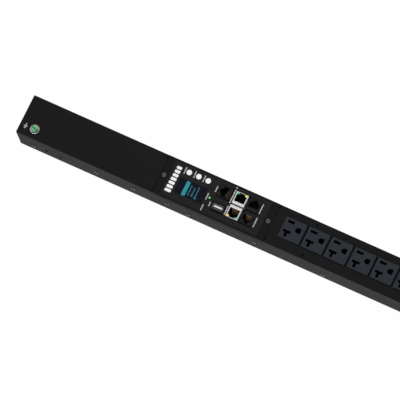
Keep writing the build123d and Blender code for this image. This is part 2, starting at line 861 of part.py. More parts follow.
def outlet(centre):
    """One receptacle: raised face, and a wider body held between the sheet and the carrier."""
    with BuildPart() as receptacle:
        with BuildSketch(Plane.XY.offset(outlet_bottom)):
            with Locations((at(centre), outlet_y)):
                Rectangle(outlet_pitch - outlet_body_inset, outlet_body_width)
        extrude(amount=front_under - outlet_bottom)
        with BuildSketch(Plane.XY.offset(front_under)):
            with Locations((at(centre), outlet_y)):
                RectangleRounded(face_length, face_width, face_corner)
        extrude(amount=face_top - front_under)
        with BuildSketch(Plane.XY.offset(face_top)):
            with Locations((at(centre) + blade_x, line_y)):
                Rectangle(slot_length, slot_width)
            with Locations((at(centre) + blade_x, neutral_y)):
                Rectangle(tee_length, slot_width)
            with Locations((at(centre) + blade_x, neutral_y - tee_stem / 2)):
                Rectangle(tee_stem_width, tee_stem)
            round_end = (ground_hole_length - ground_hole_width) / 2
            with Locations((at(centre) + ground_x - round_end, ground_y)):
                Circle(ground_hole_width / 2)
            flat_length = ground_hole_length - ground_hole_width / 2
            with Locations((at(centre) + ground_x + (ground_hole_length - flat_length) / 2, ground_y)):
                Rectangle(flat_length, ground_hole_width)
        extrude(amount=-(face_top - outlet_bottom), mode=Mode.SUBTRACT)
    return receptacle


for number, centre in enumerate(outlet_places, start=1):
    finish(outlet(centre), "outlet_" + str(number).zfill(2))


def bus_bar(y_place, half_width, contact_x, contact_gap, contact_length):
    """Copper strip with a pair of spring leaves standing up under every outlet."""
    bar_start = outlets_start - bar_tail
    with BuildPart() as bar:
        with BuildSketch(Plane.XY.offset(deck_top)):
            with Locations((at((bar_start + outlets_end) / 2), y_place)):
                Rectangle(outlets_end - bar_start, 2 * half_width)
        extrude(amount=bar_thick)
        leaf_y = contact_gap / 2 + clip_leaf / 2
        with BuildSketch(Plane.XY.offset(bar_top)):
            for centre in outlet_places:
                with Locations((at(centre) + contact_x, y_place)):
                    with Locations((0, -leaf_y), (0, leaf_y)):
                        Rectangle(contact_length, clip_leaf)
        extrude(amount=clip_top - bar_top)
    return bar


blade_grip = blade_thick - clip_grip
ground_clip_x = ground_x + ground_clip_shift
finish(bus_bar(line_y, bar_half, blade_x, blade_grip, clip_length), "line_bus_bar")
finish(bus_bar(neutral_y, bar_half, blade_x, blade_grip, clip_length), "neutral_bus_bar")
finish(bus_bar(ground_y, ground_bar_half, ground_clip_x, ground_pin, ground_clip_length), "ground_bus_bar")

# Insulating carrier that stands on the back plate and holds the bars apart
with BuildPart() as bar_carrier:
    carrier_start = outlets_start - carrier_overhang
    carrier_end = outlets_end + carrier_overhang
    with BuildSketch(Plane.YZ.offset(at(carrier_start))):
        with Locations((0, deck_top - deck / 2)):
            Rectangle(carrier_width, deck)
        leg_height = deck_top - sheet
        leg_y = (carrier_width - carrier_leg) / 2
        with Locations((-leg_y, sheet + leg_height / 2), (leg_y, sheet + leg_height / 2)):
            Rectangle(carrier_leg, leg_height)
        rib_height = outlet_bottom - deck_top
        rail_y = (face_width - carrier_rail) / 2
        with Locations(
            (outlet_y - rail_y, deck_top + rib_height / 2),
            (outlet_y + rail_y, deck_top + rib_height / 2),
        ):
            Rectangle(carrier_rail, rib_height)
        upper_rib = (line_y - bar_half + ground_y + ground_bar_half) / 2
        lower_rib = (neutral_y + bar_half + ground_y - ground_bar_half) / 2
        with Locations((upper_rib, deck_top + rib_height / 2), (lower_rib, deck_top + rib_height / 2)):
            Rectangle(carrier_rib, rib_height)
    extrude(amount=carrier_end - carrier_start)
finish(bar_carrier, "bar_carrier")

# Folded shelf for the metering board, screwed to both long sides
with BuildPart() as meter_shelf:
    shelf_width = inner_width - 2 * fit
    shelf_middle = at((shelf_start + shelf_end) / 2)
    meter_length = shelf_end - shelf_start - 2 * meter_board_end_gap
    meter_width = inner_width - 2 * meter_board_side_gap
    with BuildSketch(Plane.YZ.offset(at(shelf_start))) as fold:
        with Locations((0, (shelf_z + shelf_flange_top) / 2)):
            Rectangle(shelf_width, shelf_flange_top - shelf_z)
        fillet(fold.vertices().group_by(Axis.Y)[0], fold_radius)
        with Locations((0, sheet + (shelf_z + shelf_flange_top) / 2)):
            Rectangle(shelf_width - 2 * sheet, shelf_flange_top - shelf_z, mode=Mode.SUBTRACT)
    extrude(amount=shelf_end - shelf_start)
    with BuildSketch(Plane.XY.offset(shelf_z + sheet)):
        with Locations((shelf_middle, 0)):
            pillar_length = meter_length - 2 * shelf_pillar_inset
            pillar_width = meter_width - 2 * shelf_pillar_inset
            with GridLocations(pillar_length, pillar_width, 2, 2):
                Circle(shelf_pillar_radius)
    extrude(amount=shelf_pillar)
    with BuildSketch(Plane.XZ.offset(-width / 2)):
        with Locations(*[(at(screw), middle_screw_z) for screw in middle_screws[:2]]):
            Circle(tapped_radius)
    extrude(amount=width, mode=Mode.SUBTRACT)
finish(meter_shelf, "meter_shelf")

with BuildPart() as meter_board:
    meter_board_z = shelf_z + sheet + shelf_pillar
    with BuildSketch(Plane.XY.offset(meter_board_z)):
        with Locations((shelf_middle, 0)):
            Rectangle(meter_length, meter_width)
    extrude(amount=board)
    with BuildSketch(Plane.XY.offset(meter_board_z + board)):
        for relay_x, relay_y, relay_length, relay_width in relays:
            with Locations((shelf_middle + relay_x, relay_y)):
                Rectangle(relay_length, relay_width)
    extrude(amount=relay_height)
    with BuildSketch(Plane.XY.offset(meter_board_z + board)):
        with Locations(*[(shelf_middle + x, y) for x, y in capacitor_places]):
            Circle(capacitor_radius)
    extrude(amount=capacitor_height)
finish(meter_board, "meter_board")


def lead(pin_y, pin_z, bar_y):
    """Insulated wire from an inlet pin, down along the back and up to the tail of its bar."""
    pin_end = inlet_depth + inlet_floor + pin_tail
    bar_start = outlets_start - bar_tail
    under = deck_top - lead_radius
    with BuildPart() as wire:
        with BuildLine() as route:
            FilletPolyline(
                (at(pin_end), pin_y, pin_z),
                (at(pin_end + lead_straight), pin_y, pin_z),
                (at(pin_end + lead_straight + lead_drop), bar_y, lead_height),
                (at(bar_start + lead_overlap - lead_rise), bar_y, lead_height),
                (at(bar_start + lead_overlap), bar_y, under),
                (at(bar_start + lead_overlap + lead_landing), bar_y, under),
                radius=lead_bend,
            )
        with BuildSketch(Plane(origin=route.line @ 0, z_dir=route.line % 0)):
            Circle(lead_radius)
        sweep()
    return wire


finish(lead(pin_spacing / 2, inlet_z - pin_row, line_y), "line_lead")
finish(lead(-pin_spacing / 2, inlet_z - pin_row, neutral_y), "neutral_lead")
finish(lead(0, inlet_z + pin_row, ground_y), "ground_lead")

with BuildPart() as current_sensor:
    with BuildSketch(Plane.YZ.offset(at(ring_start))):
        with Locations((line_y, lead_height)):
            Circle(ring_radius)
            Circle(lead_radius + fit, mode=Mode.SUBTRACT)
    extrude(amount=ring_length)
    chamfer(current_sensor.edges().filter_by(GeomType.CIRCLE).sort_by(SortBy.RADIUS)[-2:], ring_edge)
finish(current_sensor, "current_sensor")


def cross_head(plane, places, head_radius, head_height, reach):
    """Pan-head screws on a plane whose normal points out of the part they hold."""
    with BuildPart() as screws:
        with BuildSketch(plane):
            with Locations(*places):
                Circle(head_radius)
        extrude(amount=head_height)
        rims = screws.faces().filter_by(Axis((0, 0, 0), tuple(plane.z_dir)))
        outer = rims.sort_by(Axis((0, 0, 0), tuple(plane.z_dir)))[-len(places):]
        fillet(outer.edges(), head_height * head_round)
        with BuildSketch(plane.offset(head_height)):
            with Locations(*places):
                Rectangle(cross_length, cross_width)
                Rectangle(cross_width, cross_length)
        extrude(amount=-cross_depth, mode=Mode.SUBTRACT)
        with BuildSketch(plane):
            with Locations(*places):
                Circle(screw_radius)
        extrude(amount=-reach)
    return screws


tab_screw_places = [(at(bay_start + tab_screw_offset), 0), (at(bay_end - tab_screw_offset), 0)]
finish(
    cross_head(Plane.XY.offset(depth), tab_screw_places, tab_head_radius, tab_head_height, screw_reach),
    "tab_screws",
)

side_screw_places = [(at(screw), rear_screw_z) for screw in rear_screws]
side_screw_places += [(at(screw), middle_screw_z) for screw in middle_screws]
mirrored_places = [(-x, z) for x, z in side_screw_places]
lower_side = Plane(origin=(0, -width / 2, 0), x_dir=(1, 0, 0), z_dir=(0, -1, 0))
upper_side = Plane(origin=(0, width / 2, 0), x_dir=(-1, 0, 0), z_dir=(0, 1, 0))
lower_screws = cross_head(lower_side, side_screw_places, pan_radius, pan_height, screw_reach)
upper_screws = cross_head(upper_side, mirrored_places, pan_radius, pan_height, screw_reach)
with BuildPart() as side_screws:
    add(lower_screws.part)
    add(upper_screws.part)
finish(side_screws, "side_screws")

# Clinch nuts in the back plate for the buttons or screws that hang the unit in a rack
with BuildPart() as mounting_nuts:
    with BuildSketch(Plane.XY):
        with Locations(*[(at(nut), 0) for nut in nut_places]):
            Circle(nut_shank - nut_press)
    extrude(amount=sheet)
    with BuildSketch(Plane.XY.offset(sheet)):
        with Locations(*[(at(nut), 0) for nut in nut_places]):
            Circle(nut_head)
    extrude(amount=nut_height)
    with BuildSketch(Plane.XY):
        with Locations(*[(at(nut), 0) for nut in nut_places]):
            Circle(nut_bore)
    extrude(amount=sheet + nut_height, mode=Mode.SUBTRACT)
finish(mounting_nuts, "mounting_nuts")
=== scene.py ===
import json
import math

import bmesh
import bpy
from mathutils import Matrix, Vector


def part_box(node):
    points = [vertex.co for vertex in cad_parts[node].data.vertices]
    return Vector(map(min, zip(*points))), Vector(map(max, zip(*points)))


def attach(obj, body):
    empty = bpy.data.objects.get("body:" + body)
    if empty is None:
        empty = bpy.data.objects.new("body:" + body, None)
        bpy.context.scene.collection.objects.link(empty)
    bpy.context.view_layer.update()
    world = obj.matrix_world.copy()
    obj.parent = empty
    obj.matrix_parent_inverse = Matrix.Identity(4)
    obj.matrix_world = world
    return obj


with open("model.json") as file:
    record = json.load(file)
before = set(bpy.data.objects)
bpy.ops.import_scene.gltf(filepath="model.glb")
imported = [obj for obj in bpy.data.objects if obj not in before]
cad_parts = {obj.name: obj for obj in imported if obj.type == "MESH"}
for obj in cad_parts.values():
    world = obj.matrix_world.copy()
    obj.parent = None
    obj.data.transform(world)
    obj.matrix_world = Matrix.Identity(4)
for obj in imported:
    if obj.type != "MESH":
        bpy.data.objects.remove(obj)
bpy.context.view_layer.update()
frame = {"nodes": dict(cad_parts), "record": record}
nodes = frame["nodes"]
scene = bpy.context.scene
MM = 0.001

# Places on the object, from the frame
inlet_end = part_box("front_shell")[0].x
case_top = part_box("front_shell")[1].z
fascia_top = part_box("controller_fascia")[1].z
half_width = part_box("front_shell")[1].y

# Outlets: first centre, pitch and middle of the row. The rim round a raised face, painted in shade,
# starts a share of the pitch from the gap's middle, or a distance from the row's middle, and ends
# at the flanks, which are painted in light
first_outlet = 360.8
outlet_pitch = 30.9 * MM
outlet_y = 1.5 * MM
outlet_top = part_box("outlet_01")[1].z
rim_top = outlet_top - 0.3 * MM
flank_top = case_top - 1.4 * MM
rim_from_gap = 0.055
rim_from_middle = 13.2 * MM

# Two holes low in each long side: distance from the inlet end and height
side_holes = ((36.8, 18.1), (56.7, 18.1))
side_hole_radius = 1.6 * MM

# Screws along each long side, by height. Their heads have two painted highlights each, given by the
# distance from the screw's middle, half the length, the rise above it and the reach off the sheet
side_screw_rows = (
    (11.0, (19.0, 228.0, 410.0, 600.0, 790.0, 895.4)),
    (21.1, (106.0, 156.0, 201.5, 319.0)),
)
highlight_offset = 1.65 * MM
highlight_half_length = 0.55 * MM
highlight_rise = 1.0 * MM
highlight_reach = 1.1 * MM

# Corner of the field that holds the two upper jacks, whose wires get painted shade
upper_jacks_low = 5.0 * MM
upper_jacks_start = 275.0


def at(distance):
    """X of a place given in millimetres from the inlet end."""
    return inlet_end + distance * MM


# Camera, fitted to the photo's edges: a very long lens that looks down at the outlet face
camera_lens = 1278.3
camera_place = Vector((3.5647, -3.4946, 16.3382))
camera_right = Vector((0.89087, 0.44009, -0.1126)).normalized()
camera_back = Vector((0.22131, -0.20399, 0.95363)).normalized()

camera_data = bpy.data.cameras.new("camera")
camera_data.lens = camera_lens
camera_data.sensor_width = 36.0
camera_data.clip_start = 0.1
camera_data.clip_end = 200.0
camera = bpy.data.objects.new("camera", camera_data)
scene.collection.objects.link(camera)
camera_up = camera_back.cross(camera_right)
turned = Matrix((camera_right, camera_up, camera_back)).transposed().to_4x4()
camera.matrix_world = Matrix.Translation(camera_place) @ turned
scene.camera = camera
scene.view_settings.view_transform = "Standard"


class Link:
    """One output socket; arithmetic on it adds Math nodes."""

    def __init__(self, finish, socket):
        self.finish = finish
        self.socket = socket

    def math(self, operation, *values):
        inputs = dict(enumerate((self, *values)))
        return self.finish.node("ShaderNodeMath", {"operation": operation}, inputs)

    def __add__(self, other):
        return self.math("ADD", other)

    __radd__ = __add__

    def __sub__(self, other):
        return self.math("SUBTRACT", other)

    def __mul__(self, other):
        return self.math("MULTIPLY", other)

    def __gt__(self, other):
        return self.math("GREATER_THAN", other)

    def __lt__(self, other):
        return self.math("LESS_THAN", other)


# Sockets of a Mix node that is set to colours
mix_under = 6
mix_over = 7
mixed = 2


class Tree:
    """Node tree whose nodes come from one method."""

    def __init__(self, tree):
        self.tree = tree

    def feed(self, socket, value):
        if isinstance(value, Link):
            self.tree.links.new(value.socket, socket)
        else:
            socket.default_value = value

    def node(self, kind, settings=None, inputs=None, output=0):
        made = self.tree.nodes.new(kind)
        for key, value in (settings or {}).items():
            if key == "stops":
                ramp = made.color_ramp
                ramp.elements[0].position, ramp.elements[0].color = value[0]
                ramp.elements[1].position, ramp.elements[1].color = value[-1]
                for position, colour in value[1:-1]:
                    ramp.elements.new(position).color = colour
            else:
                setattr(made, key, value)
        for key, value in (inputs or {}).items():
            self.feed(made.inputs[key], value)
        return Link(self, made.outputs[output])


class Finish(Tree):
    """A material around one Principled shader."""

    def __init__(self, name, colour, roughness, metallic=0.0, **sockets):
        self.material = bpy.data.materials.new(name)
        self.material.use_nodes = True
        super().__init__(self.material.node_tree)
        self.shader = self.tree.nodes["Principled BSDF"]
        self.colour = (*colour, 1.0)
        self.set("Base Color", self.colour)
        self.set("Roughness", roughness)
        self.set("Metallic", metallic)
        for socket, value in sockets.items():
            self.set(socket.replace("_", " "), value)

    def set(self, socket, value):
        self.feed(self.shader.inputs[socket], value)

    def place(self):
        return self.node("ShaderNodeTexCoord", output="Object")

    def along(self, axis):
        """The object's own X, Y or Z in metres."""
        return self.node("ShaderNodeSeparateXYZ", {}, {"Vector": self.place()}, output=axis)

    def facing(self, axis):
        """X, Y or Z of the object's own surface normal."""
        normal = self.node("ShaderNodeTexCoord", output="Normal")
        return self.node("ShaderNodeSeparateXYZ", {}, {"Vector": normal}, output=axis)

    def noise(self, scale, detail=3.0, stretch=(1.0, 1.0, 1.0)):
        place = self.node("ShaderNodeMapping", {}, {"Vector": self.place(), "Scale": stretch})
        inputs = {"Vector": place, "Scale": scale, "Detail": detail}
        return self.node("ShaderNodeTexNoise", {}, inputs)

    def tint(self, mask, colour, under=None):
        """Moves the base colour, or the one under it, towards another where the mask is high."""
        settings = {"data_type": "RGBA", "clamp_factor": True}
        over = colour if isinstance(colour, Link) else (*colour, 1.0)
        inputs = {"Factor": mask, mix_under: under or self.colour, mix_over: over}
        return self.node("ShaderNodeMix", settings, inputs, output=mixed)

    def bump(self, height, strength, distance):
        inputs = {"Height": height, "Strength": strength, "Distance": distance}
        self.set("Normal", self.node("ShaderNodeBump", {}, inputs))


def shade(value):
    """Linear grey for an sRGB level of 0 to 255."""
    return (value / 255) ** 2.2


def grey(value):
    return (shade(value),) * 3


def scaled(colour, factor, lift=0.0):
    """The colour made lighter or darker."""
    return tuple(channel * factor + lift for channel in colour)


def powder_coat(name, colour, roughness, gloss):
    """Baked powder coat: fine orange peel and faint clouding."""
    coat = Finish(name, colour, roughness, Specular_IOR_Level=gloss)
    peel = coat.noise(1500.0, 2.0)
    cloud = coat.noise(26.0, 2.0)
    coat.set("Base Color", coat.tint(cloud * 0.5, scaled(colour, 1.5, 0.0004)))
    coat.set("Roughness", roughness - 0.05 + cloud * 0.1)
    coat.bump(peel, 0.25, 0.00006)
    return coat.material


def moulded(name, colour, roughness, gloss=0.5, grain=2600.0, depth=0.00004):
    """Injection-moulded plastic with a spark-eroded grain."""
    plastic = Finish(name, colour, roughness, Specular_IOR_Level=gloss)
    fine = plastic.noise(grain, 2.0)
    flow = plastic.noise(40.0, 2.0)
    plastic.set("Base Color", plastic.tint(flow * 0.4, scaled(colour, 1.35, 0.0005)))
    plastic.set("Roughness", roughness - 0.04 + fine * 0.08)
    plastic.bump(fine, 0.2, depth)
    return plastic.material


def receptacle_plastic(name, colour, wall_shade_colour, rim_shade_colour, flank_light_colour):
    """Moulded outlet: grained face, painted shade on the slot walls and on the rim round the face,
    and painted light on the flanks inside the case.
    """
    plastic = Finish(name, colour, 0.5, Specular_IOR_Level=0.18)
    fine = plastic.noise(1900.0, 2.0)
    flow = plastic.noise(40.0, 2.0)
    face = plastic.tint(flow * 0.4, scaled(colour, 1.35, 0.0005))
    # Painted shade on every face that is not turned up: slot walls and the sides of the raised face
    inside = plastic.tint(plastic.facing("Z") < 0.5, wall_shade_colour, face)
    steps = (plastic.along("X") - at(first_outlet)) * (1 / outlet_pitch)
    from_gap = (steps.math("FRACT") - 0.5).math("ABSOLUTE")
    from_middle = (plastic.along("Y") - outlet_y).math("ABSOLUTE")
    # Painted shade on the rim above the flanks, painted light on the flanks below it
    rim = (from_gap < rim_from_gap).math("MAXIMUM", from_middle > rim_from_middle)
    height = plastic.along("Z")
    rim_or_flank = plastic.tint(height < flank_top, flank_light_colour, (*rim_shade_colour, 1.0))
    plastic.set("Base Color", plastic.tint(rim * (height < rim_top), rim_or_flank, inside))
    plastic.set("Roughness", 0.46 + fine * 0.08)
    plastic.bump(fine, 0.2, 0.00004)
    return plastic.material


def spring_wire(name, colour, painted_shade_colour):
    """Gilt wire, with painted shade in the upper jacks and on faces turned away from the lower long
    side.
    """
    wire = Finish(name, colour, 0.4, 0.35)
    patches = wire.noise(160.0, 2.0)
    gilt = wire.tint(patches * 0.4, scaled(colour, 0.8))
    upper_jacks = (wire.along("Y") > upper_jacks_low) * (wire.along("X") > at(upper_jacks_start))
    # Painted shade: darker colour on wires in the upper jacks and on faces turned away from the
    # lower long side
    dull = (wire.facing("Y") > 0.5).math("MAXIMUM", upper_jacks)
    wire.set("Base Color", wire.tint(dull, painted_shade_colour, gilt))
    wire.set("Roughness", 0.36 + patches * 0.1)
    return wire.material


def bar_metal(name, colour, leaf_colour):
    """Copper bar whose spring leaves are plated dark."""
    leaf_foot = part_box("line_bus_bar")[0].z + 1.5 * MM
    bar = Finish(name, colour, 0.35, 1.0)
    lines = bar.noise(900.0, 3.0)
    leaf = bar.along("Z") > leaf_foot
    copper = bar.tint(lines * 0.6, scaled(colour, 0.82))
    bar.set("Base Color", bar.tint(leaf, leaf_colour, copper))
    bar.set("Roughness", 0.3 + lines * 0.1 + leaf * 0.3)
    return bar.material


def coated_screw(name, colour, highlight_colour):
    """Black screw with painted light on the faces turned up and two painted highlights on its upper
    edge.
    """
    screw = Finish(name, colour, 0.62, Specular_IOR_Level=0.075)
    cloud = screw.noise(700.0, 2.0)
    body = screw.tint(cloud * 0.3, scaled(colour, 1.3))
    # Painted light: the faces of the head turned up are lighter
    top = screw.tint(screw.facing("Z") * 1.2, grey(92), body)
    along = screw.along("X")
    near_sheet = screw.along("Y").math("ABSOLUTE") < half_width + highlight_reach
    # Painted highlights: two bright spots on the upper edge of each head
    for height, places in side_screw_rows:
        above = (screw.along("Z") - (height * MM + highlight_rise)) > 0.0
        for distance in places:
            off = ((along - at(distance)).math("ABSOLUTE") - highlight_offset).math("ABSOLUTE")
            painted_highlight = near_sheet * above * (off < highlight_half_length)
            top = screw.tint(painted_highlight, highlight_colour, top)
    screw.set("Base Color", top)
    screw.set("Roughness", 0.55 + cloud * 0.1)
    return screw.material


def plated(name, colour, roughness, metallic=1.0, along=(1.0, 1.0, 12.0)):
    """Plated metal with faint drawing lines and finger-dull patches."""
    plate = Finish(name, colour, roughness, metallic)
    lines = plate.noise(900.0, 3.0, along)
    patches = plate.noise(160.0, 2.0)
    plate.set("Base Color", plate.tint(patches * 0.6, scaled(colour, 0.82)))
    plate.set("Roughness", roughness - 0.06 + lines * 0.14)
    plate.bump(lines, 0.12, 0.00003)
    return plate.material


def ink(name, colour):
    """Screen-printed ink, slightly uneven in cover."""
    print_coat = Finish(name, colour, 0.55, Specular_IOR_Level=0.3)
    cover = print_coat.noise(3200.0, 2.0)
    print_coat.set("Base Color", print_coat.tint(cover * 0.35, scaled(colour, 0.8)))
    return print_coat.material


def lit(name, colour, strength, rough=0.3):
    """Plastic that is lit from inside."""
    lamp = Finish(name, colour, rough, Emission_Strength=strength)
    depth = lamp.noise(700.0, 2.0)
    glow = lamp.tint(depth * 0.4, scaled(colour, 0.75))
    lamp.set("Base Color", glow)
    lamp.set("Emission Color", glow)
    return lamp.material


def dyed_screw(name):
    """Green dyed head, lighter on the top as painted light and darker in the slot as painted shade,
    with the base green on the rim.
    """
    slot_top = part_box("ground_screw")[1].z - 0.8 * MM
    screw = Finish(name, (0.004, 0.2, 0.045), 0.38, 0.1)
    top = screw.facing("Z") > 0.75
    slot = top * (screw.along("Z") < slot_top)
    wear = screw.noise(900.0, 2.0)
    # Painted light on the top faces and painted shade in the slot
    pale = screw.tint(top * (0.9 + wear * 0.1), (0.17, 0.44, 0.23))
    screw.set("Base Color", screw.tint(slot, (0.03, 0.24, 0.08), pale))
    screw.bump(wear, 0.1, 0.00003)
    return screw.material


def socket_plastic(name, tongue_node):
    """Black body of the serial port with its white tongue."""
    low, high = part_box(tongue_node)
    body = Finish(name, grey(33), 0.46, Specular_IOR_Level=0.15)
    fine = body.noise(2600.0, 2.0)
    middle = (low + high) / 2
    tongue_half_length = 5.65 * MM
    tongue_half_width = 1.15 * MM
    tongue_top = high.z - 0.3 * MM
    tongue_y = middle.y + 0.55 * MM
    inside_x = (body.along("X") - middle.x).math("ABSOLUTE") < tongue_half_length
    inside_y = (body.along("Y") - tongue_y).math("ABSOLUTE") < tongue_half_width
    tongue = inside_x * inside_y * (body.along("Z") < tongue_top)
    body.set("Base Color", body.tint(tongue, (0.85, 0.85, 0.85)))
    body.set("Roughness", 0.42 + fine * 0.08)
    body.bump(fine, 0.2, 0.00004)
    return body.material


def laminate(name):
    """Circuit board: solder mask with faint tracks."""
    board = Finish(name, (0.008, 0.07, 0.028), 0.35)
    wave = board.node(
        "ShaderNodeTexBrick",
        {"offset": 0.5},
        {"Vector": board.place(), "Scale": 90.0, "Mortar Size": 0.03},
        output="Fac",
    )
    board.set("Base Color", board.tint(wave * 0.6, (0.02, 0.14, 0.05)))
    board.bump(wave, 0.2, 0.00005)
    return board.material


# Outlet colours: face, slot walls in painted shade, rim round the face in painted shade lighter
# than the walls, flanks inside the case in painted light
outlet_colours = (
    (0.0209, 0.0252, 0.0332),
    (0.006, 0.0075, 0.01),
    (0.014, 0.015, 0.018),
    (0.12, 0.125, 0.14),
)
panel_colour = (0.0056, 0.0056, 0.0145)

# One material for each material slot of the record
finishes = {
    "black_steel": powder_coat("black_steel", grey(29), 0.62, 0.08),
    "black_screw": coated_screw("black_screw", grey(40), grey(205)),
    "plated_steel": plated("plated_steel", (0.72, 0.72, 0.73), 0.3),
    "tab_screw_steel": plated("tab_screw_steel", grey(112), 0.42, 0.75),
    "green_screw": dyed_screw("green_screw"),
    "module_plastic": moulded("module_plastic", grey(31.5), 0.62, 0.035),
    "fascia_plastic": moulded("fascia_plastic", grey(33.5), 0.46, 0.15),
    "display_panel": moulded("display_panel", panel_colour, 0.6, 0.05, 3000.0, 0.000002),
    "button_plastic": moulded("button_plastic", (0.9, 0.9, 0.9), 0.4),
    "light_pipe": lit("light_pipe", (0.2, 0.62, 0.22), 0.35),
    "board_laminate": laminate("board_laminate"),
    "jack_plastic": moulded("jack_plastic", grey(33), 0.46, 0.15),
    "jack_shield": plated("jack_shield", (0.9, 0.9, 0.9), 0.38, 0.3),
    "gilt_contact": spring_wire("gilt_contact", (0.42, 0.24, 0.12), (0.03, 0.02, 0.012)),
    "outlet_plastic": receptacle_plastic("outlet_plastic", *outlet_colours),
    "bar_copper": bar_metal("bar_copper", (0.75, 0.4, 0.25), (0.05, 0.045, 0.045)),
    "carrier_plastic": moulded("carrier_plastic", (0.5, 0.48, 0.42), 0.5),
    "inlet_plastic": moulded("inlet_plastic", grey(26), 0.45),
    "inlet_blade": plated("inlet_blade", (0.7, 0.68, 0.62), 0.28),
    "line_insulation": moulded("line_insulation", grey(24), 0.4),
    "neutral_insulation": moulded("neutral_insulation", grey(220), 0.4),
    "ground_insulation": moulded("ground_insulation", (0.04, 0.3, 0.07), 0.4),
    "ferrite": moulded("ferrite", grey(48), 0.6),
}

lens_glass = Finish("display_glass", (0.02, 0.016, 0.035), 0.12, Alpha=0.1, Specular_IOR_Level=0.12)
lens_smudge = lens_glass.noise(60.0, 1.0)
lens_glass.set("Roughness", 0.1 + lens_smudge * 0.05)
finishes["display_glass"] = lens_glass.material


def dress(obj, material):
    obj.data.materials.clear()
    obj.data.materials.append(material)


slot_of = {part["node"]: part["material_slot"] for part in frame["record"]["subparts"]}
for name, obj in nodes.items():
    dress(obj, finishes[slot_of[name]])
dress(nodes["tab_screws"], finishes["tab_screw_steel"])
dress(nodes["reset_plunger"], finishes["inlet_plastic"])
dress(nodes["usb_body"], socket_plastic("serial_port_body", "usb_body"))
dress(nodes["usb_shell"], plated("serial_port_shell", grey(120), 0.4, 0.5))

print_white = ink("print_white", grey(250))
print_grey = ink("print_grey", grey(205))
field_cyan = lit("field_cyan", (0.006, 0.2, 0.23), 0.9, 0.4)
field_cyan_dim = lit("field_cyan_dim", (0.008, 0.11, 0.15), 0.9, 0.4)
lamp_green = lit("lamp_green", (0.06, 0.5, 0.2), 0.45)
lamp_amber = lit("lamp_amber", (0.85, 0.62, 0.03), 0.6)


# Printed plates: thickness, corner radius as a share of the width, and the rhythm of the letters
ink_thickness = 0.05 * MM
corner_share = 0.3
letter_heights = (1.0, 0.8, 0.8, 1.0, 0.8)
letter_share = 0.78


def rounded_plate(mesh, centre, size, radius, low, high):
    """Adds a flat plate with rounded corners between two heights."""
    corners = []
    reach_x = size[0] / 2 - radius
    reach_y = size[1] / 2 - radius
    for turn, (side_x, side_y) in enumerate(((1, 1), (-1, 1), (-1, -1), (1, -1))):
        hub_x = centre[0] + side_x * reach_x
        hub_y = centre[1] + side_y * reach_y
        for step in range(4):
            angle = math.pi / 2 * (turn + step / 3)
            corners.append((hub_x + radius * math.cos(angle), hub_y + radius * math.sin(angle)))
    bottom = [mesh.verts.new((x, y, low)) for x, y in corners]
    top = [mesh.verts.new((x, y, high)) for x, y in corners]
    mesh.faces.new(top)
    mesh.faces.new(list(reversed(bottom)))
    count = len(corners)
    for index in range(count):
        after = (index + 1) % count
        mesh.faces.new((bottom[index], bottom[after], top[after], top[index]))


def add_piece(name, mesh, material):
    """Makes an object of the mesh that rides on the chassis."""
    data = bpy.data.meshes.new(name)
    mesh.to_mesh(data)
    mesh.free()
    piece = bpy.data.objects.new(name, data)
    scene.collection.objects.link(piece)
    dress(piece, material)
    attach(piece, "chassis")


def printed(name, plates, height, material):
    """One piece made of flat plates: (x, y, length along X, width along Y), in metres."""
    mesh = bmesh.new()
    for x, y, along, across in plates:
        radius = min(along, across) * corner_share
        rounded_plate(mesh, (x, y), (along, across), radius, height, height + ink_thickness)
    add_piece(name, mesh, material)


def word(distance, low, high, stroke, letters):
    """Plates that read as a short printed word running across the face."""
    step = (high - low) / letters
    plates = []
    for index in range(letters):
        tall = stroke * letter_heights[index % len(letter_heights)]
        centre = low + step * (index + 0.5)
        plates.append((at(distance), centre * MM, tall * MM, step * letter_share * MM))
    return plates


# Words: distance from the inlet end, the Y where they start and stop, stroke and number of letters
short_words = [
    (209.2, 11.4, 20.1, 1.5, 6),
    (222.1, 11.4, 20.1, 1.5, 6),
    (234.7, 11.4, 20.1, 1.5, 6),
    (247.5, -6.7, 1.9, 1.5, 6),
    (247.8, -21.4, -13.2, 1.5, 5),
    (254.0, 6.5, 14.2, 1.5, 6),
    (254.4, -12.8, -6.9, 1.5, 4),
    (314.3, 3.7, 16.6, 1.5, 8),
    (314.9, -14.1, -1.6, 1.5, 8),
]
port_words = []
for distance, low, high, stroke, letters in short_words:
    port_words += word(distance, low, high, stroke, letters)
printed("port_words", port_words, fascia_top, print_grey)
lan_words = word(275.9, 1.2, 19.2, 1.7, 11) + word(275.9, 21.2, 22.9, 1.7, 1)
lan_words += word(276.3, -14.5, -2.7, 1.6, 7)
printed("lan_words", lan_words, fascia_top, print_grey)

# Load scale printed where the fascia is widest and bare: plain bars that grow towards one side
scale_bars = 7
scale_low = -17.6
scale_high = 18.2
scale_edge = 204.6
scale_longest = 8.2
scale_taper = 0.27
scale_share = 0.72
scale_step = (scale_high - scale_low) / scale_bars
scale_width = scale_step * scale_share
scale_plates = []
for bar in range(scale_bars):
    long = scale_longest - scale_taper * bar
    middle = scale_low + scale_step * (bar + 0.5)
    scale_plates.append((at(scale_edge - long / 2), middle * MM, long * MM, scale_width * MM))
printed("load_scale", scale_plates, fascia_top, print_white)

# Earth symbol beside the bonding screw
earth_x = 7.5
earth_bars = [(-13.9, 4.8), (-15.3, 3.0), (-16.7, 1.4)]
earth_stroke = 0.45 * MM
earth_stem = (at(earth_x), -12.0 * MM, 0.5 * MM, 3.4 * MM)
earth_plates = [(at(earth_x), y * MM, long * MM, earth_stroke) for y, long in earth_bars]
earth_plates.append(earth_stem)
printed("earth_symbol", earth_plates, case_top, print_white)

# Thin dark ovals on the long sides round the two holes in each, as painted shadow of the holes
shadow_half_length = 1.8 * MM
shadow_half_height = 3.0 * MM
shadow_thickness = 0.1 * MM
shadow_steps = 32


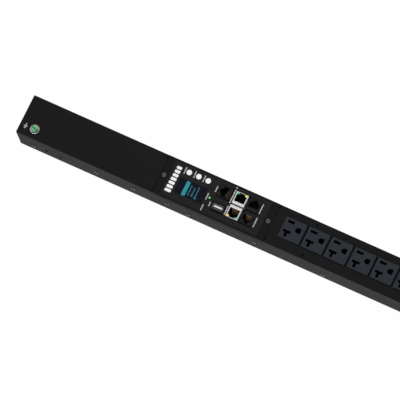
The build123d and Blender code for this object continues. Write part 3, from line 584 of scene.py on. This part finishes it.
def oval(mesh, centre, long, tall):
    """Loop of vertices that stands on a long side; long and tall are its half sizes."""
    loop = []
    for step in range(shadow_steps):
        angle = 2 * math.pi * step / shadow_steps
        x = centre[0] + long * math.cos(angle)
        z = centre[2] + tall * math.sin(angle)
        loop.append(mesh.verts.new((x, centre[1], z)))
    return loop


shadow_mesh = bmesh.new()
for side in (-1, 1):
    for distance, rise in side_holes:
        foot = (at(distance), side * half_width, rise * MM)
        face = (foot[0], side * (half_width + shadow_thickness), foot[2])
        loops = [
            oval(shadow_mesh, foot, side_hole_radius, side_hole_radius),
            oval(shadow_mesh, foot, shadow_half_length, shadow_half_height),
            oval(shadow_mesh, face, shadow_half_length, shadow_half_height),
            oval(shadow_mesh, face, side_hole_radius, side_hole_radius),
        ]
        for turn, near in enumerate(loops):
            far = loops[(turn + 1) % len(loops)]
            for step in range(shadow_steps):
                after = (step + 1) % shadow_steps
                shadow_mesh.faces.new((near[step], near[after], far[after], far[step]))
bmesh.ops.recalc_face_normals(shadow_mesh, faces=shadow_mesh.faces)
# Matte black sheet that stands in for the holes' shadow
add_piece("hole_shadows", shadow_mesh, moulded("painted_shadow_black", grey(8), 0.95, 0.0))

# What the display shows: one bright field and three rows of dimmer ones
panel_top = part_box("display_module")[1].z
bright = [(at(219.3), -4.1 * MM, 4.9 * MM, 20.2 * MM)]
printed("display_field", bright, panel_top, field_cyan)
rows = word(224.9, -11.0, 2.8, 2.0, 7) + word(229.5, -8.3, 1.6, 2.0, 5)
rows += word(234.2, -9.1, 4.0, 2.2, 6)
rows += [(at(229.5), -9.6 * MM, 2.4 * MM, 2.2 * MM), (at(234.4), -10.6 * MM, 3.0 * MM, 2.6 * MM)]
printed("display_rows", rows, panel_top, field_cyan_dim)

# Lamps of the two network jacks, over the lamp windows of their inserts
lamp_size = (2.5, 2.0)
lamp_offset = 5.2
lamp_rise = 6.15
lamp_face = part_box("lan_insert_upper")[1].z
lamps = {"green": [], "amber": []}
for node, latch, green_side in (("lan_insert_upper", 1, -1), ("lan_insert_lower", -1, 1)):
    low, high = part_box(node)
    middle = (low + high) / 2
    for colour, side in (("green", green_side), ("amber", -green_side)):
        x = middle.x + side * lamp_offset * MM
        y = middle.y + latch * lamp_rise * MM
        lamps[colour].append((x, y, lamp_size[0] * MM, lamp_size[1] * MM))
printed("lan_lamps_green", lamps["green"], lamp_face, lamp_green)
printed("lan_lamps_amber", lamps["amber"], lamp_face, lamp_amber)

# Floor and backdrop
floor_size = 30.0
floor_mesh = bmesh.new()
bmesh.ops.create_grid(floor_mesh, x_segments=2, y_segments=2, size=floor_size)
floor_data = bpy.data.meshes.new("floor")
floor_mesh.to_mesh(floor_data)
floor_mesh.free()
floor = bpy.data.objects.new("floor", floor_data)
floor.location.z = -0.3 * MM
scene.collection.objects.link(floor)
ground = bpy.data.materials.new("pale_floor")
ground.use_nodes = True
floor_tree = Tree(ground.node_tree)
seen = floor_tree.node("ShaderNodeLightPath", output="Is Camera Ray")
for ray in ("Is Glossy Ray", "Is Transmission Ray"):
    seen = seen.math("MAXIMUM", floor_tree.node("ShaderNodeLightPath", output=ray))
paper = floor_tree.node("ShaderNodeBsdfDiffuse", {}, {"Color": (0.8, 0.8, 0.8, 1.0)})
white = (1.0, 1.0, 1.0, 1.0)
bright_paper = floor_tree.node("ShaderNodeEmission", {}, {"Color": white, "Strength": 1.0})
bright_share = 0.985
papers = {0: seen * bright_share, 1: paper, 2: bright_paper}
blend = floor_tree.node("ShaderNodeMixShader", {}, papers)
floor_tree.feed(ground.node_tree.nodes["Material Output"].inputs["Surface"], blend)
dress(floor, ground)

# World: white where the camera sees it, plain grey light elsewhere, dimmer overhead in reflections
world = bpy.data.worlds.new("studio")
scene.world = world
world.use_nodes = True
sky = Tree(world.node_tree)
path_camera = sky.node("ShaderNodeLightPath", output="Is Camera Ray")
path_glossy = sky.node("ShaderNodeLightPath", output="Is Glossy Ray")
direction = sky.node("ShaderNodeTexCoord", output="Generated")
height = sky.node("ShaderNodeSeparateXYZ", {}, {"Vector": direction}, output="Z")
sky_greys = ((0.0, 1.0), (0.35, 0.8), (0.8, 0.12), (1.0, 0.08))
ramp_stops = [(position, (level, level, level, 1.0)) for position, level in sky_greys]
mirror_sky = sky.node("ShaderNodeValToRGB", {"stops": ramp_stops}, {"Fac": height})
plain_light = 0.72
reflected = sky.node(
    "ShaderNodeMix",
    {"data_type": "RGBA"},
    {"Factor": path_glossy, mix_under: (*(plain_light,) * 3, 1.0), mix_over: mirror_sky},
    output=mixed,
)
shown = sky.node(
    "ShaderNodeMix",
    {"data_type": "RGBA"},
    {"Factor": path_camera, mix_under: reflected, mix_over: white},
    output=mixed,
)
sky.feed(world.node_tree.nodes["Background"].inputs["Color"], shown)


def softbox(name, place, aim, size, power):
    """Large soft lamp that looks at a point."""
    data = bpy.data.lights.new(name, "AREA")
    data.shape = "RECTANGLE"
    data.size, data.size_y = size
    data.energy = power
    lamp = bpy.data.objects.new(name, data)
    scene.collection.objects.link(lamp)
    lamp.location = place
    lamp.rotation_euler = (Vector(aim) - Vector(place)).to_track_quat("-Z", "Y").to_euler()


softbox("side_light", (0.2, -1.8, 0.7), (0.0, 0.0, 0.02), (2.2, 0.8), 9.0)
softbox("top_light", (-0.9, 1.3, 1.8), (0.0, 0.0, 0.02), (1.6, 1.0), 12.0)
